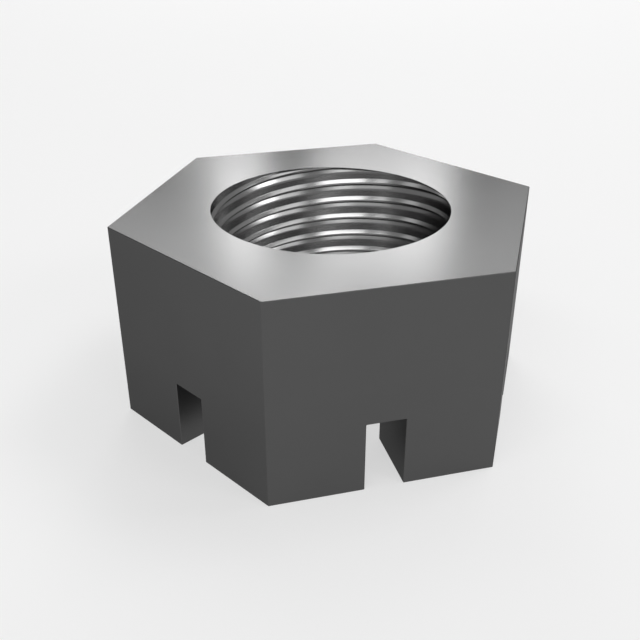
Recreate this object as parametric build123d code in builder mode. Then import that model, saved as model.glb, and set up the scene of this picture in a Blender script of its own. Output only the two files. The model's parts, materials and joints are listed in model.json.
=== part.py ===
from build123d import *
import os

# Castle nut, one solid piece, sizes in millimetres.
# It stands on its crown, so the slots open downwards at z = 0 and the plain bearing face is on top.
# The origin is on the axis of the thread, at the foot of the crown.
# The hexagon has two corners on the Y axis, and two of its flats face along the X axis.

# Hexagonal body
flat_count = 6
across_flats = 55.0
nut_height = 30.0

# Hole through the nut, at the crests of its internal thread
crest_diameter = 34.75

# Crown: one slot for the split pin through the middle of each flat
slot_width = 5.5
slot_depth = 10.5

os.makedirs("parts", exist_ok=True)

# Each slot is cut from the axis outwards and runs past the flat that it leaves by.
flat_distance = across_flats / 2
slot_overrun = slot_width / 2
slot_reach = flat_distance + slot_overrun
half_side_angle = 180 / flat_count

with BuildPart() as castle_nut:
    # The hexagon is turned so that the first flat faces along +X.
    with BuildSketch(Plane.XY) as hexagon:
        RegularPolygon(
            radius=flat_distance,
            side_count=flat_count,
            major_radius=False,
            rotation=half_side_angle,
        )
    extrude(amount=nut_height)

    # The hole is drilled down from the bearing face.
    bearing_face = castle_nut.faces().sort_by(Axis.Z)[-1]
    with BuildSketch(bearing_face) as hole_outline:
        Circle(crest_diameter / 2)
    extrude(amount=-nut_height, mode=Mode.SUBTRACT)

    # The slots are milled up from the crown end, square to the flats, and leave a tooth at each corner.
    with BuildSketch(Plane.XY) as slot_outlines:
        with PolarLocations(radius=slot_reach / 2, count=flat_count):
            Rectangle(slot_reach, slot_width)
    extrude(amount=slot_depth, mode=Mode.SUBTRACT)

castle_nut.part.label = "castle_nut"
export_step(castle_nut.part, "parts/castle_nut.step")
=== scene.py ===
import json
import math
from collections import Counter

import bpy
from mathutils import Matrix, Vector


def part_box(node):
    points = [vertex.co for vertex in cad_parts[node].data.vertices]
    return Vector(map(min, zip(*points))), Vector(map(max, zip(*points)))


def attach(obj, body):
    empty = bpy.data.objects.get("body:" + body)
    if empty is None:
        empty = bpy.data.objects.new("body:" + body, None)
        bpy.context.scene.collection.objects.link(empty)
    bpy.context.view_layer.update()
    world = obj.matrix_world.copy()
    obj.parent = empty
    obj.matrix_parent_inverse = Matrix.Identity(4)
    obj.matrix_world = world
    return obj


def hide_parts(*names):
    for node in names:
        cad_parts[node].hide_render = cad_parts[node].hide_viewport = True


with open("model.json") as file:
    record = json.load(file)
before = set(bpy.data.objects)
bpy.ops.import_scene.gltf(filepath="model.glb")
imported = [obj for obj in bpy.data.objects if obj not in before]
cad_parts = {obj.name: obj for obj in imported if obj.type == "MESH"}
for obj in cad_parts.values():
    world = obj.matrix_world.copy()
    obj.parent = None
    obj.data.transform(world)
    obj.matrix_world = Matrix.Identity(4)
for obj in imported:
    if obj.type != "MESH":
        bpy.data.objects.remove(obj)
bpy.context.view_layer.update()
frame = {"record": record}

bl_info = {
    "name": "Castle nut",
    "version": (1, 0, 0),
    "blender": (4, 5, 0),
    "location": "View3D > Sidebar > Castle nut",
    "description": "Builds a steel castle nut with a real thread, and a small studio round it",
    "category": "Add Mesh",
}

MM = 0.001
NODE = "castle_nut"
BODY = "root"
STEEL_SLOT = "satin_steel"

# The frame gives the nut's size: the solid's box, and the thread mount of the record.
NUT_LOW, NUT_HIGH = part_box(NODE)
ACROSS_FLATS = NUT_HIGH.x - NUT_LOW.x
ACROSS_CORNERS = NUT_HIGH.y - NUT_LOW.y
NUT_HEIGHT = NUT_HIGH.z - NUT_LOW.z
THREAD_MOUNT = next(m for m in frame["record"]["mounts"] if m["name"] == "thread")
HOLE_RADIUS = THREAD_MOUNT["dims"]["r_mm"] * MM
FLATS = 6
THREAD_MARK = "cut_thread"
FACE_MARK = "bearing_face"
THREAD_STEPS = 144
RIM_SIDES = 256
ROUNDING_SEGMENTS = 4
SAME_PLACE = 0.002 * MM
BOOLEAN_TRIES = 6
SHARP_ANGLE = math.radians(25)
# A face looks up, or in towards the axis, where its normal goes that way by this share or more.
LOOKS_UP = 0.99
LOOKS_IN = 0.2

# The camera's place and angle are those of the photograph.
VIEW_AZIMUTH = math.radians(15.097)
VIEW_ELEVATION = math.radians(28.464)
CAMERA_PLACE = (28.832 * MM, -112.802 * MM, 74.182 * MM)
SENSOR_WIDTH = 36
NEAREST_SEEN, FARTHEST_SEEN = 0.005, 20
PANEL_DISTANCE = 1.0
FLOOR_SIZE = 6.0


class CastleNutSizes(bpy.types.PropertyGroup):
    """Sizes of the nut's crown and thread. The hexagon and the hole come from the frame"""

    slot_width: bpy.props.FloatProperty(
        name="Slot width", description="Width of each split-pin slot", default=5.5 * MM, unit="LENGTH",
    )
    slot_depth: bpy.props.FloatProperty(
        name="Slot depth", description="Depth of each slot from the crown's end",
        default=10.5 * MM, unit="LENGTH",
    )
    thread_spacing: bpy.props.FloatProperty(
        name="Thread spacing", description="Distance between neighbouring crests along the axis",
        default=2.988 * MM, unit="LENGTH",
    )
    thread_starts: bpy.props.IntProperty(
        name="Thread starts", description="Number of separate threads that run side by side",
        default=4, min=1,
    )
    crest_recess: bpy.props.FloatProperty(
        name="Crest recess", description="How far the crests lie behind the rim of the hole",
        default=0.05 * MM, unit="LENGTH",
    )
    lip_height: bpy.props.FloatProperty(
        name="Lip height", description="Height of the narrow lip that ends each crest",
        default=0.34 * MM, unit="LENGTH",
    )
    lip_tilt: bpy.props.FloatProperty(
        name="Lip tilt", description="Lean of the lip from the axis, away from it as it goes down",
        default=math.radians(32), subtype="ANGLE",
    )
    underside_height: bpy.props.FloatProperty(
        name="Underside height", description="Height from a crest down to the root of the groove below it",
        default=0.56 * MM, unit="LENGTH",
    )
    upper_slope_height: bpy.props.FloatProperty(
        name="Upper slope height", description="Height of the slope that leads in from the root",
        default=0.88 * MM, unit="LENGTH",
    )
    upper_slope_tilt: bpy.props.FloatProperty(
        name="Upper slope tilt", description="Lean of the upper slope from the axis",
        default=math.radians(28), subtype="ANGLE",
    )
    lower_slope_height: bpy.props.FloatProperty(
        name="Lower slope height", description="Height of the slope that ends in the next crest",
        default=0.50 * MM, unit="LENGTH",
    )
    lower_slope_tilt: bpy.props.FloatProperty(
        name="Lower slope tilt", description="Lean of the lower slope from the axis",
        default=math.radians(40), subtype="ANGLE",
    )
    wall_tilt: bpy.props.FloatProperty(
        name="Wall tilt", description="Lean of the groove's wall between its two slopes, from the axis",
        default=math.radians(8), subtype="ANGLE",
    )
    upper_rounding: bpy.props.FloatProperty(
        name="Upper rounding", description="Reach of the rounding between the upper slope and the wall",
        default=0.24 * MM, unit="LENGTH",
    )
    lower_rounding: bpy.props.FloatProperty(
        name="Lower rounding", description="Reach of the rounding between the wall and the lower slope",
        default=0.03 * MM, unit="LENGTH",
    )
    crest_height: bpy.props.FloatProperty(
        name="Crest height", description="Height of one crest on the +X side",
        default=0.735 * MM, unit="LENGTH",
    )
    rim_land: bpy.props.FloatProperty(
        name="Rim land", description="Height of the plain hole between the bearing face and the thread",
        default=0.04 * MM, unit="LENGTH",
    )
    rim_slope: bpy.props.FloatProperty(
        name="Rim slope", description="Fall from the level of the cone that ends the grooves under the rim",
        default=math.radians(12), subtype="ANGLE",
    )
    run_out_slope: bpy.props.FloatProperty(
        name="Run-out slope",
        description="Rise from the level of the cone that ends the grooves over the crown",
        default=math.radians(30), subtype="ANGLE",
    )
    edge_break: bpy.props.FloatProperty(
        name="Edge break", description="Width of the fine chamfer on the outside edges and the slots",
        default=0.08 * MM, unit="LENGTH",
    )


class CastleNutSteel(bpy.types.PropertyGroup):
    """Look of the satin steel"""

    # Painted shade: the flats and slots get a darker colour than the rest of the steel, standing in for the
    # shade on them.
    shaded_flat_colour: bpy.props.FloatVectorProperty(
        name="Flat colour", description="Colour of the flats and slots", subtype="COLOR",
        default=(0.105, 0.105, 0.105),
    )
    # Painted light: the bearing face gets a lighter colour than the flats, standing in for the light that
    # falls on the top.
    lit_face_colour: bpy.props.FloatVectorProperty(
        name="Face colour", description="Colour of the ground bearing face", subtype="COLOR",
        default=(0.2, 0.2, 0.2),
    )
    edge_tone: bpy.props.FloatVectorProperty(
        name="Edge tone", description="Tone of what the steel mirrors where it is seen at a low angle",
        subtype="COLOR", default=(0.4, 0.4, 0.4),
    )
    flat_roughness: bpy.props.FloatProperty(
        name="Flat roughness", description="Mean roughness of the flats and slots",
        default=0.4, min=0, max=1,
    )
    face_roughness: bpy.props.FloatProperty(
        name="Face roughness", description="Mean roughness of the ground bearing face",
        default=0.24, min=0, max=1,
    )
    # Painted light: the thread gets a lighter colour than the flats, standing in for light in the hole,
    # where the walls lie in shade.
    lit_thread_colour: bpy.props.FloatVectorProperty(
        name="Thread colour", description="Colour of the cut thread", subtype="COLOR",
        default=(0.34, 0.34, 0.34),
    )
    thread_roughness: bpy.props.FloatProperty(
        name="Thread roughness", description="Mean roughness of the cut thread",
        default=0.21, min=0, max=1,
    )
    mottle_size: bpy.props.FloatProperty(
        name="Mottle size", description="Size of the soft clouds in the steel's tone and gloss",
        default=9.0 * MM, unit="LENGTH",
    )
    mottle_tone: bpy.props.FloatProperty(
        name="Mottle tone", description="Share by which the clouds lighten and darken the colour",
        default=0.05, min=0, max=1,
    )
    mottle_gloss: bpy.props.FloatProperty(
        name="Mottle gloss", description="How far the clouds raise and lower the roughness",
        default=0.02, min=0, max=1,
    )
    grain_size: bpy.props.FloatProperty(
        name="Grain size", description="Size of the fine grain of the surface",
        default=0.35 * MM, unit="LENGTH",
    )
    grain_depth: bpy.props.FloatProperty(
        name="Grain depth", description="Depth of the fine grain", default=0.0006 * MM, unit="LENGTH",
    )
    turning_lines: bpy.props.FloatProperty(
        name="Turning lines", description="Tool lines across one groove of the thread", default=9, min=0,
    )
    turning_depth: bpy.props.FloatProperty(
        name="Turning depth", description="Depth of the tool lines in the thread",
        default=0.002 * MM, unit="LENGTH",
    )


class CastleNutStudio(bpy.types.PropertyGroup):
    """Light, floor and camera"""

    floor_colour: bpy.props.FloatVectorProperty(
        name="Floor colour", description="Colour of the pale floor", subtype="COLOR",
        default=(0.8, 0.8, 0.8),
    )
    floor_white: bpy.props.FloatProperty(
        name="Floor white", description="Share of plain white in the floor where it is seen",
        default=0.58, min=0, max=1,
    )
    surround: bpy.props.FloatProperty(
        name="Surround", description="Level of the even light from all sides", default=0.1, min=0,
    )
    surround_white: bpy.props.FloatProperty(
        name="Surround white", description="Level of the surround where it is seen", default=0.34, min=0,
    )
    lens: bpy.props.FloatProperty(
        name="Lens", description="Focal length of the camera in millimetres", default=47.777,
    )


def work_with(*objects):
    """Deselects everything, then selects these objects and makes the first one active."""
    bpy.ops.object.select_all(action="DESELECT")
    for item in objects:
        item.select_set(True)
    bpy.context.view_layer.objects.active = objects[0]


def apply_place():
    """Moves the active object's place, turn and scale into its mesh."""
    bpy.ops.object.transform_apply(location=True, rotation=True, scale=True)


def is_closed(piece):
    """Whether every edge of the piece lies between just two faces."""
    sides = Counter(edge for face in piece.data.polygons for edge in face.edge_keys)
    return all(count == 2 for count in sides.values())


def combine(piece, other, operation):
    """Applies a boolean of the piece with another solid, and deletes that solid.

    The solver now and then loses a patch of faces, so a result that comes out open is made again.
    """
    before = piece.data.copy()
    for tries_left in reversed(range(BOOLEAN_TRIES)):
        work_with(piece)
        boolean = piece.modifiers.new("Combine", "BOOLEAN")
        boolean.operation = operation
        boolean.solver = "EXACT"
        boolean.object = other
        bpy.ops.object.modifier_apply(modifier=boolean.name)
        if is_closed(piece) or not tries_left:
            break
        piece.data = before.copy()
    bpy.data.objects.remove(other, do_unlink=True)


def hexagon_blank():
    """The nut's hexagonal blank, with two corners on the Y axis, standing on z = 0."""
    bpy.ops.mesh.primitive_cylinder_add(
        vertices=FLATS, radius=ACROSS_CORNERS / 2, depth=NUT_HEIGHT, location=(0, 0, NUT_HEIGHT / 2),
    )
    blank = bpy.context.active_object
    blank.name = NODE + "_nut"
    apply_place()
    return blank


def slot_cutter(sizes, turn):
    """A bar across the whole crown, which leaves a slot in two opposite flats."""
    overrun = sizes.slot_width
    bpy.ops.mesh.primitive_cube_add(
        size=1, location=(0, 0, (sizes.slot_depth - overrun) / 2), rotation=(0, 0, turn),
        scale=(ACROSS_FLATS + overrun, sizes.slot_width, sizes.slot_depth + overrun),
    )
    apply_place()
    return bpy.context.active_object


def break_edges(nut, width):
    """Puts a fine chamfer on every edge of the slotted blank."""
    work_with(nut)
    chamfer = nut.modifiers.new("Edge break", "BEVEL")
    chamfer.width = width
    chamfer.segments = 1
    chamfer.limit_method = "ANGLE"
    chamfer.angle_limit = SHARP_ANGLE
    bpy.ops.object.modifier_apply(modifier=chamfer.name)


def groove_profile(sizes):
    """The line from a crest down to its own next turn, past every start's groove, and its hollow corners.

    Each hollow corner is given as its distance from the axis and the reach of its rounding.
    """
    spacing = sizes.thread_spacing
    crest = HOLE_RADIUS + sizes.crest_recess
    wall_top = sizes.underside_height + sizes.upper_slope_height
    wall_bottom = spacing - sizes.lower_slope_height
    low_reach = sizes.lower_slope_height * math.tan(sizes.lower_slope_tilt)
    wall_reach = low_reach + (wall_bottom - wall_top) * math.tan(sizes.wall_tilt)
    root_reach = wall_reach + sizes.upper_slope_height * math.tan(sizes.upper_slope_tilt)
    lip_reach = sizes.lip_height * math.tan(sizes.lip_tilt)
    # one groove, from a crest down, as (distance behind the crest, drop)
    groove = (
        (0, 0), (lip_reach, sizes.lip_height), (root_reach, sizes.underside_height),
        (wall_reach, wall_top), (low_reach, wall_bottom),
    )
    points = [
        Vector((crest + back, 0, -number * spacing - drop))
        for number in range(sizes.thread_starts) for back, drop in groove
    ]
    points.append(Vector((crest, 0, -sizes.thread_starts * spacing)))
    return points, ((crest + wall_reach, sizes.upper_rounding), (crest + low_reach, sizes.lower_rounding))


def thread_core(sizes):
    """The solid that the hole takes away: the profile screwed down the axis.

    It is longer than the nut, and its ends are level.
    """
    spacing = sizes.thread_spacing
    lead = spacing * sizes.thread_starts
    profile, hollow_corners = groove_profile(sizes)
    top, bottom = NUT_HEIGHT + spacing, -2 * spacing
    start = sizes.crest_height + math.ceil((top + lead - sizes.crest_height) / spacing) * spacing
    bpy.ops.mesh.primitive_plane_add(size=lead)
    core = bpy.context.active_object
    core.name = "thread_core"
    bpy.ops.object.mode_set(mode="EDIT")
    bpy.ops.mesh.merge(type="CENTER")
    bpy.ops.transform.translate(value=profile[0] + Vector((0, 0, start)))
    for before, after in zip(profile, profile[1:]):
        bpy.ops.mesh.extrude_region_move(TRANSFORM_OT_translate={"value": after - before})
    bpy.ops.object.mode_set(mode="OBJECT")
    for radius, rounding in hollow_corners:
        bpy.ops.object.mode_set(mode="EDIT")
        bpy.ops.mesh.select_all(action="DESELECT")
        bpy.ops.object.mode_set(mode="OBJECT")
        for vertex in core.data.vertices:
            vertex.select = abs(vertex.co.x - radius) < SAME_PLACE
        bpy.ops.object.mode_set(mode="EDIT")
        bpy.ops.mesh.bevel(offset=rounding, segments=ROUNDING_SEGMENTS, affect="VERTICES")
        bpy.ops.object.mode_set(mode="OBJECT")
    screw = core.modifiers.new("Screw", "SCREW")
    screw.axis = "Z"
    screw.angle = math.tau
    screw.screw_offset = -lead
    screw.iterations = math.ceil((start - bottom) / lead)
    screw.steps = screw.render_steps = THREAD_STEPS
    screw.use_smooth_shade = True
    bpy.ops.object.modifier_apply(modifier=screw.name)
    bpy.ops.object.mode_set(mode="EDIT")
    bpy.ops.mesh.select_all(action="SELECT")
    bpy.ops.mesh.remove_doubles(threshold=SAME_PLACE)
    for height, clear_above in ((top, True), (bottom, False)):
        bpy.ops.mesh.select_all(action="SELECT")
        bpy.ops.mesh.bisect(
            plane_co=(0, 0, height), plane_no=(0, 0, 1), use_fill=True,
            clear_outer=clear_above, clear_inner=not clear_above,
        )
    bpy.ops.mesh.select_all(action="SELECT")
    bpy.ops.mesh.normals_make_consistent(inside=False)
    bpy.ops.object.mode_set(mode="OBJECT")
    return core


def hole_limit(sizes):
    """The space that the hole may take.

    It is plain in the crown, wide round the thread, and plain again at the rim.
    """
    reach = sizes.thread_spacing
    bottom = -reach
    run_out_height = reach * math.tan(sizes.run_out_slope)
    rim_cone_height = reach * math.tan(sizes.rim_slope)
    wide_height = NUT_HEIGHT - sizes.rim_land - rim_cone_height - run_out_height - sizes.slot_depth
    bpy.ops.mesh.primitive_cylinder_add(
        vertices=RIM_SIDES, radius=HOLE_RADIUS, depth=sizes.slot_depth - bottom,
        location=(0, 0, (sizes.slot_depth + bottom) / 2),
    )
    apply_place()
    limit = bpy.context.active_object
    bpy.ops.object.mode_set(mode="EDIT")
    bpy.ops.mesh.select_mode(type="FACE")
    bpy.ops.mesh.select_all(action="DESELECT")
    bpy.ops.object.mode_set(mode="OBJECT")
    for face in limit.data.polygons:
        face.select = face.normal.z > LOOKS_UP
    bpy.ops.object.mode_set(mode="EDIT")
    widening = (HOLE_RADIUS + reach) / HOLE_RADIUS
    # each step is a rise and the growth of the radius over it; the last one runs out through the top
    steps = (
        (run_out_height, widening), (wide_height, 1),
        (rim_cone_height, 1 / widening), (2 * sizes.rim_land, 1),
    )
    for rise, growth in steps:
        bpy.ops.mesh.extrude_region_move(TRANSFORM_OT_translate={"value": (0, 0, rise)})
        bpy.ops.transform.resize(value=(growth, growth, 1))
    bpy.ops.mesh.select_mode(type="VERT")
    bpy.ops.object.mode_set(mode="OBJECT")
    return limit


def clean_mesh(piece):
    """Merges points that fall together and dissolves faces with no area."""
    work_with(piece)
    bpy.ops.object.mode_set(mode="EDIT")
    bpy.ops.mesh.select_all(action="SELECT")
    bpy.ops.mesh.remove_doubles(threshold=SAME_PLACE)
    bpy.ops.mesh.select_all(action="SELECT")
    bpy.ops.mesh.dissolve_degenerate(threshold=SAME_PLACE)
    bpy.ops.object.mode_set(mode="OBJECT")


def threaded_nut(sizes):
    """The slotted blank with its threaded hole."""
    nut = hexagon_blank()
    for pair in range(FLATS // 2):
        combine(nut, slot_cutter(sizes, pair * math.tau / FLATS), "DIFFERENCE")
    break_edges(nut, sizes.edge_break)
    hole = thread_core(sizes)
    combine(hole, hole_limit(sizes), "INTERSECT")
    combine(nut, hole, "DIFFERENCE")
    clean_mesh(nut)
    return nut


def put(links, value, socket):
    """Links an output to the socket, or sets the socket to a plain value."""
    if isinstance(value, bpy.types.NodeSocket):
        links.new(value, socket)
    else:
        socket.default_value = value


def maths(nodes, links, operation, *values):
    """The result of one step of arithmetic on outputs or plain numbers."""
    step = nodes.new("ShaderNodeMath")
    step.operation = operation
    for value, socket in zip(values, step.inputs):
        put(links, value, socket)
    return step.outputs[0]


def mix_of(nodes, links, factor, low, high, data_type="FLOAT"):
    """A float or colour that goes from low to high with the factor."""
    mix = nodes.new("ShaderNodeMix")
    mix.data_type = data_type
    kind = {"FLOAT": "Float", "RGBA": "Color"}[data_type]
    sockets = {socket.identifier: socket for socket in (*mix.inputs, *mix.outputs)}
    put(links, factor, sockets["Factor_Float"])
    put(links, low, sockets["A_" + kind])
    put(links, high, sockets["B_" + kind])
    return sockets["Result_" + kind]


def noise_of(nodes, links, place, scale, detail):
    """Noise around a half at the given places."""
    noise = nodes.new("ShaderNodeTexNoise")
    links.new(place, noise.inputs["Vector"])
    noise.inputs["Scale"].default_value = scale
    noise.inputs["Detail"].default_value = detail
    return noise.outputs["Fac"]


def mark_of(nodes, name):
    """The value of one of the nut's face marks."""
    mark = nodes.new("ShaderNodeAttribute")
    mark.attribute_name = name
    return mark.outputs["Fac"]


def turning_height(nodes, links, place, look, sizes):
    """Fine tool lines that run along the grooves of the thread, each a little different."""
    parts = nodes.new("ShaderNodeSeparateXYZ")
    links.new(place, parts.inputs[0])
    turn = maths(nodes, links, "ARCTAN2", parts.outputs["Y"], parts.outputs["X"])
    lead = sizes.thread_spacing * sizes.thread_starts
    level = maths(nodes, links, "MULTIPLY_ADD", turn, lead / math.tau, parts.outputs["Z"])
    across = maths(nodes, links, "FRACT", maths(nodes, links, "DIVIDE", level, sizes.thread_spacing))
    along = nodes.new("ShaderNodeCombineXYZ")
    links.new(maths(nodes, links, "MULTIPLY", across, look.turning_lines), along.inputs["X"])
    # the lines change slowly round the hole, over about the width of one mottle cloud
    links.new(maths(nodes, links, "DIVIDE", parts.outputs["X"], look.mottle_size), along.inputs["Y"])
    links.new(maths(nodes, links, "DIVIDE", parts.outputs["Y"], look.mottle_size), along.inputs["Z"])
    return noise_of(nodes, links, along.outputs[0], scale=1.0, detail=1.0)


def raised(nodes, links, height, depth, strength, under=None):
    """A bump of the given depth, on top of another bump."""
    bump = nodes.new("ShaderNodeBump")
    bump.inputs["Distance"].default_value = depth
    put(links, strength, bump.inputs["Strength"])
    links.new(height, bump.inputs["Height"])
    if under is not None:
        links.new(under, bump.inputs["Normal"])
    return bump.outputs["Normal"]


def steel_material(look, sizes):
    """Satin steel with faint clouds and grain, in three finishes of different roughness.

    Its colour is painted light and shade: the flats are painted dark as shade, the ground bearing face is
    painted lighter as light, and the cut thread is painted brighter still, as light in the hole.
    """
    material = bpy.data.materials.new(STEEL_SLOT)
    material.use_nodes = True
    nodes, links = material.node_tree.nodes, material.node_tree.links
    nodes.clear()
    out = nodes.new("ShaderNodeOutputMaterial")
    shader = nodes.new("ShaderNodeBsdfPrincipled")
    links.new(shader.outputs[0], out.inputs[0])
    shader.inputs["Metallic"].default_value = 1.0
    shader.inputs["Specular Tint"].default_value = (*look.edge_tone, 1)
    place = nodes.new("ShaderNodeTexCoord").outputs["Object"]
    clouds = noise_of(nodes, links, place, scale=1 / look.mottle_size, detail=3.0)
    grain = noise_of(nodes, links, place, scale=1 / look.grain_size, detail=2.0)
    thread, face = mark_of(nodes, THREAD_MARK), mark_of(nodes, FACE_MARK)

    # Painted light and shade: the flats get the darker colour, and the bearing face and the thread get the
    # lighter ones. The clouds below change the tone at random.
    outside = mix_of(nodes, links, face, (*look.shaded_flat_colour, 1), (*look.lit_face_colour, 1), "RGBA")
    steel = mix_of(nodes, links, thread, outside, (*look.lit_thread_colour, 1), "RGBA")
    tone = maths(nodes, links, "MULTIPLY_ADD", clouds, 2 * look.mottle_tone, 1 - look.mottle_tone)
    toned = nodes.new("ShaderNodeVectorMath")
    toned.operation = "SCALE"
    links.new(steel, toned.inputs[0])
    links.new(tone, toned.inputs["Scale"])
    links.new(toned.outputs[0], shader.inputs["Base Color"])

    outside_gloss = mix_of(nodes, links, face, look.flat_roughness, look.face_roughness)
    gloss = mix_of(nodes, links, thread, outside_gloss, look.thread_roughness)
    cloudy = maths(nodes, links, "MULTIPLY_ADD", clouds, 2 * look.mottle_gloss, -look.mottle_gloss)
    links.new(maths(nodes, links, "ADD", gloss, cloudy), shader.inputs["Roughness"])

    grained = raised(nodes, links, grain, look.grain_depth, strength=1.0)
    lines = turning_height(nodes, links, place, look, sizes)
    links.new(raised(nodes, links, lines, look.turning_depth, thread, grained), shader.inputs["Normal"])
    return material


def mark_faces(nut, name, wanted):
    """Marks the wanted faces with 1 in an attribute for the material."""
    mark = nut.data.attributes.new(name, "FLOAT", "FACE")
    for face in nut.data.polygons:
        mark.data[face.index].value = float(wanted(face))


def in_thread(face):
    """Whether a face looks towards the axis, as those of the hole do."""
    outwards = Vector((face.center.x, face.center.y, 0)).normalized()
    return face.normal.dot(outwards) < -LOOKS_IN


def on_bearing_face(face):
    """Whether a face looks straight up at the nut's top."""
    return face.normal.z > LOOKS_UP and face.center.z > NUT_HEIGHT - SAME_PLACE


class OBJECT_OT_castle_nut(bpy.types.Operator):
    """Builds the nut: hexagonal blank, thread, plain rim and six slots, in satin steel"""

    bl_idname = "object.castle_nut"
    bl_label = "Castle nut"

    def execute(self, context):
        sizes = context.scene.castle_nut_sizes
        nut = threaded_nut(sizes)
        for _ in range(BOOLEAN_TRIES):
            if is_closed(nut):
                break
            bpy.data.objects.remove(nut, do_unlink=True)
            nut = threaded_nut(sizes)
        work_with(nut)
        bpy.ops.object.shade_smooth_by_angle(angle=SHARP_ANGLE)
        mark_faces(nut, THREAD_MARK, in_thread)
        mark_faces(nut, FACE_MARK, on_bearing_face)
        nut.data.materials.clear()
        nut.data.materials.append(steel_material(context.scene.castle_nut_steel, sizes))
        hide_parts(NODE)
        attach(nut, BODY)
        return {"FINISHED"}


def add_panel(name, heading, elevation, spread, rise, radiance):
    """A soft panel lamp that faces the nut, and fills spread by rise degrees as the nut sees it.

    Heading is counted in degrees from straight behind the nut, as the camera sees it, positive to the right.
    Elevation is counted in degrees up from the level of the bearing face.
    """
    turn, climb = VIEW_AZIMUTH - math.radians(heading), math.radians(elevation)
    toward = Vector((-math.sin(turn) * math.cos(climb), math.cos(turn) * math.cos(climb), math.sin(climb)))
    width = 2 * PANEL_DISTANCE * math.tan(math.radians(spread / 2)) * math.cos(climb)
    height = 2 * PANEL_DISTANCE * math.tan(math.radians(rise / 2))
    bpy.ops.object.light_add(type="AREA", location=Vector((0, 0, NUT_HEIGHT)) + toward * PANEL_DISTANCE)
    lamp = bpy.context.active_object
    lamp.name = name
    lamp.rotation_euler = toward.to_track_quat("Z", "Y").to_euler()
    lamp.data.shape = "RECTANGLE"
    lamp.data.size = width
    lamp.data.size_y = height
    # A panel of this radiance gives out pi times its area times the radiance, in watts.
    lamp.data.energy = radiance * math.pi * width * height
    lamp.visible_camera = False


def seen_by(nodes, links, low, high):
    """A float that is low for plain light, and high where the camera, metal or glass looks."""
    path = nodes.new("ShaderNodeLightPath")
    seen = path.outputs["Is Camera Ray"]
    for other in ("Is Glossy Ray", "Is Transmission Ray"):
        seen = maths(nodes, links, "MAXIMUM", seen, path.outputs[other])
    return mix_of(nodes, links, seen, low, high)


def floor_paint(studio):
    """A pale matt floor, mixed with plain white where it is seen."""
    paint = bpy.data.materials.new("floor_paint")
    paint.use_nodes = True
    nodes, links = paint.node_tree.nodes, paint.node_tree.links
    nodes.clear()
    out = nodes.new("ShaderNodeOutputMaterial")
    matt = nodes.new("ShaderNodeBsdfDiffuse")
    matt.inputs["Color"].default_value = (*studio.floor_colour, 1)
    white = nodes.new("ShaderNodeEmission")
    white.inputs["Color"].default_value = (1, 1, 1, 1)
    white.inputs["Strength"].default_value = 1.0
    blend = nodes.new("ShaderNodeMixShader")
    links.new(seen_by(nodes, links, 0, studio.floor_white), blend.inputs["Fac"])
    links.new(matt.outputs[0], blend.inputs[1])
    links.new(white.outputs[0], blend.inputs[2])
    links.new(blend.outputs[0], out.inputs[0])
    return paint


def pale_surround(studio):
    """A world that is a light grey where it is seen, and gives a lower, even light."""
    world = bpy.data.worlds.new("surround")
    world.use_nodes = True
    nodes, links = world.node_tree.nodes, world.node_tree.links
    nodes.clear()
    out = nodes.new("ShaderNodeOutputWorld")
    background = nodes.new("ShaderNodeBackground")
    background.inputs["Color"].default_value = (1, 1, 1, 1)
    links.new(seen_by(nodes, links, studio.surround, studio.surround_white), background.inputs["Strength"])
    links.new(background.outputs[0], out.inputs[0])
    return world


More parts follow.
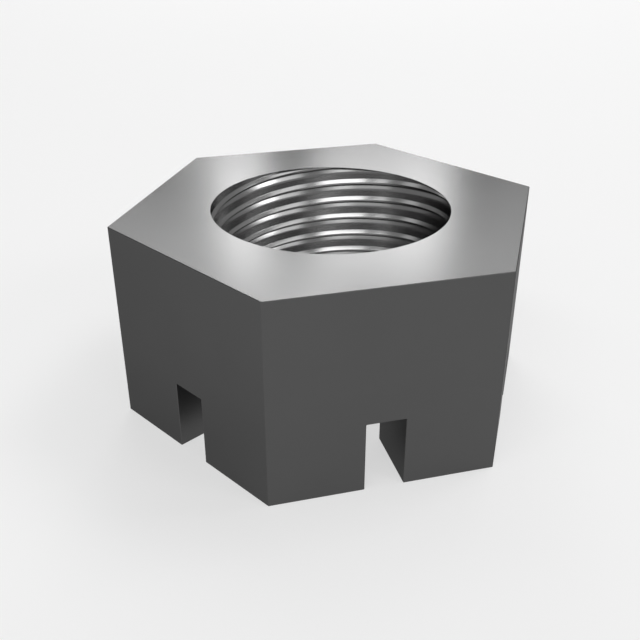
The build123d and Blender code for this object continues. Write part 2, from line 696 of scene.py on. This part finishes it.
class OBJECT_OT_castle_nut_studio(bpy.types.Operator):
    """Builds the floor, the lamps, the surround and the camera"""

    bl_idname = "object.castle_nut_studio"
    bl_label = "Studio"

    def execute(self, context):
        studio = context.scene.castle_nut_studio
        bpy.ops.mesh.primitive_plane_add(size=FLOOR_SIZE, location=(0, 0, 0))
        floor = context.active_object
        floor.name = "floor"
        floor.data.materials.append(floor_paint(studio))
        context.scene.world = pale_surround(studio)

        # name, heading, elevation, spread, rise and radiance; these light the slopes of the thread
        add_panel("key", 118, 32, 20, 12, 4.7)
        add_panel("key_soft", 128, 33, 56, 14, 1.35)
        add_panel("front_left", -160, 36, 18, 12, 1)
        add_panel("front_left_soft", -145, 36, 70, 14, 0.85)
        add_panel("high_left", -150, 58, 60, 14, 3.6)
        add_panel("high_left_side", -102, 50, 16, 12, 1.8)
        add_panel("side_left", -72, 35, 16, 12, 0.8)
        add_panel("high_right", 135, 56, 46, 14, 1.5)
        add_panel("side_right", 70, 56, 40, 18, 5.5)
        add_panel("high_back", 20, 60, 90, 24, 2)
        # and these are what the bearing face mirrors
        add_panel("back_left", -6.3, 21, 4, 10, 10.8)
        add_panel("back_middle", 2.8, 21, 7, 10, 7.6)
        add_panel("back_right", 8.3, 21, 4, 10, 10)
        add_panel("back_high", -1.8, 34, 5, 12, 5.4)
        add_panel("back_low", -9.5, 13, 4, 10, 2.6)
        add_panel("back_left_side", -11.5, 26, 4, 12, 2.2)
        add_panel("back_right_side", 13, 26, 4, 12, 0.7)
        add_panel("back_wide_left", -25, 25, 24, 20, 1.9)
        add_panel("back_wide_right", 25, 25, 24, 20, 1.7)

        camera_data = bpy.data.cameras.new("camera")
        camera = bpy.data.objects.new("camera", camera_data)
        context.scene.collection.objects.link(camera)
        camera.location = CAMERA_PLACE
        camera.rotation_euler = (math.radians(90) - VIEW_ELEVATION, 0, VIEW_AZIMUTH)
        camera_data.sensor_width = SENSOR_WIDTH
        camera_data.lens = studio.lens
        camera_data.clip_start = NEAREST_SEEN
        camera_data.clip_end = FARTHEST_SEEN
        context.scene.camera = camera
        context.scene.view_settings.view_transform = "Standard"
        return {"FINISHED"}


class VIEW3D_PT_castle_nut(bpy.types.Panel):
    """The nut's builders, in the sidebar"""

    bl_label = "Castle nut"
    bl_space_type = "VIEW_3D"
    bl_region_type = "UI"
    bl_category = "Castle nut"

    def draw(self, context):
        layout = self.layout
        layout.operator(OBJECT_OT_castle_nut.bl_idname)
        layout.operator(OBJECT_OT_castle_nut_studio.bl_idname)


CLASSES = (
    CastleNutSizes, CastleNutSteel, CastleNutStudio, OBJECT_OT_castle_nut, OBJECT_OT_castle_nut_studio,
    VIEW3D_PT_castle_nut,
)


def register():
    for each in CLASSES:
        bpy.utils.register_class(each)
    bpy.types.Scene.castle_nut_sizes = bpy.props.PointerProperty(type=CastleNutSizes)
    bpy.types.Scene.castle_nut_steel = bpy.props.PointerProperty(type=CastleNutSteel)
    bpy.types.Scene.castle_nut_studio = bpy.props.PointerProperty(type=CastleNutStudio)


def unregister():
    del bpy.types.Scene.castle_nut_studio
    del bpy.types.Scene.castle_nut_steel
    del bpy.types.Scene.castle_nut_sizes
    for each in reversed(CLASSES):
        bpy.utils.unregister_class(each)


def main():
    register()
    bpy.ops.object.castle_nut()
    bpy.ops.object.castle_nut_studio()
    bpy.context.view_layer.update()


if __name__ == "__main__":
    main()
